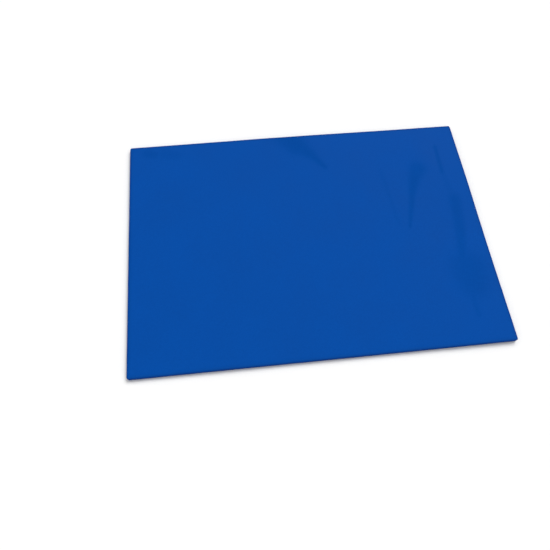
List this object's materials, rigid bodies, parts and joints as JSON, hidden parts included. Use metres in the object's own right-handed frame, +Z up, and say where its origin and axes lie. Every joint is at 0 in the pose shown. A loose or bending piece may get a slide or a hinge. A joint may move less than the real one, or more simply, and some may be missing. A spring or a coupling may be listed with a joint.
{
  "type": "craft foam sheet",
  "caption": "Flat A4 sheet of blue closed-cell craft foam, die-cut with rounded corners and soft edges, lying on its face.",
  "frame": {"origin": "middle of the lower face, on the surface the sheet lies on", "axes": "+X along the long side, +Y along the short side, +Z up through the thickness"},
  "size_m": [0.297, 0.21, 0.003],
  "materials": {
    "foam": "smooth satin foam skin, matt cut edges"
  },
  "bodies": {
    "root": {"foam_sheet": "foam"}
  },
  "joints": []
}
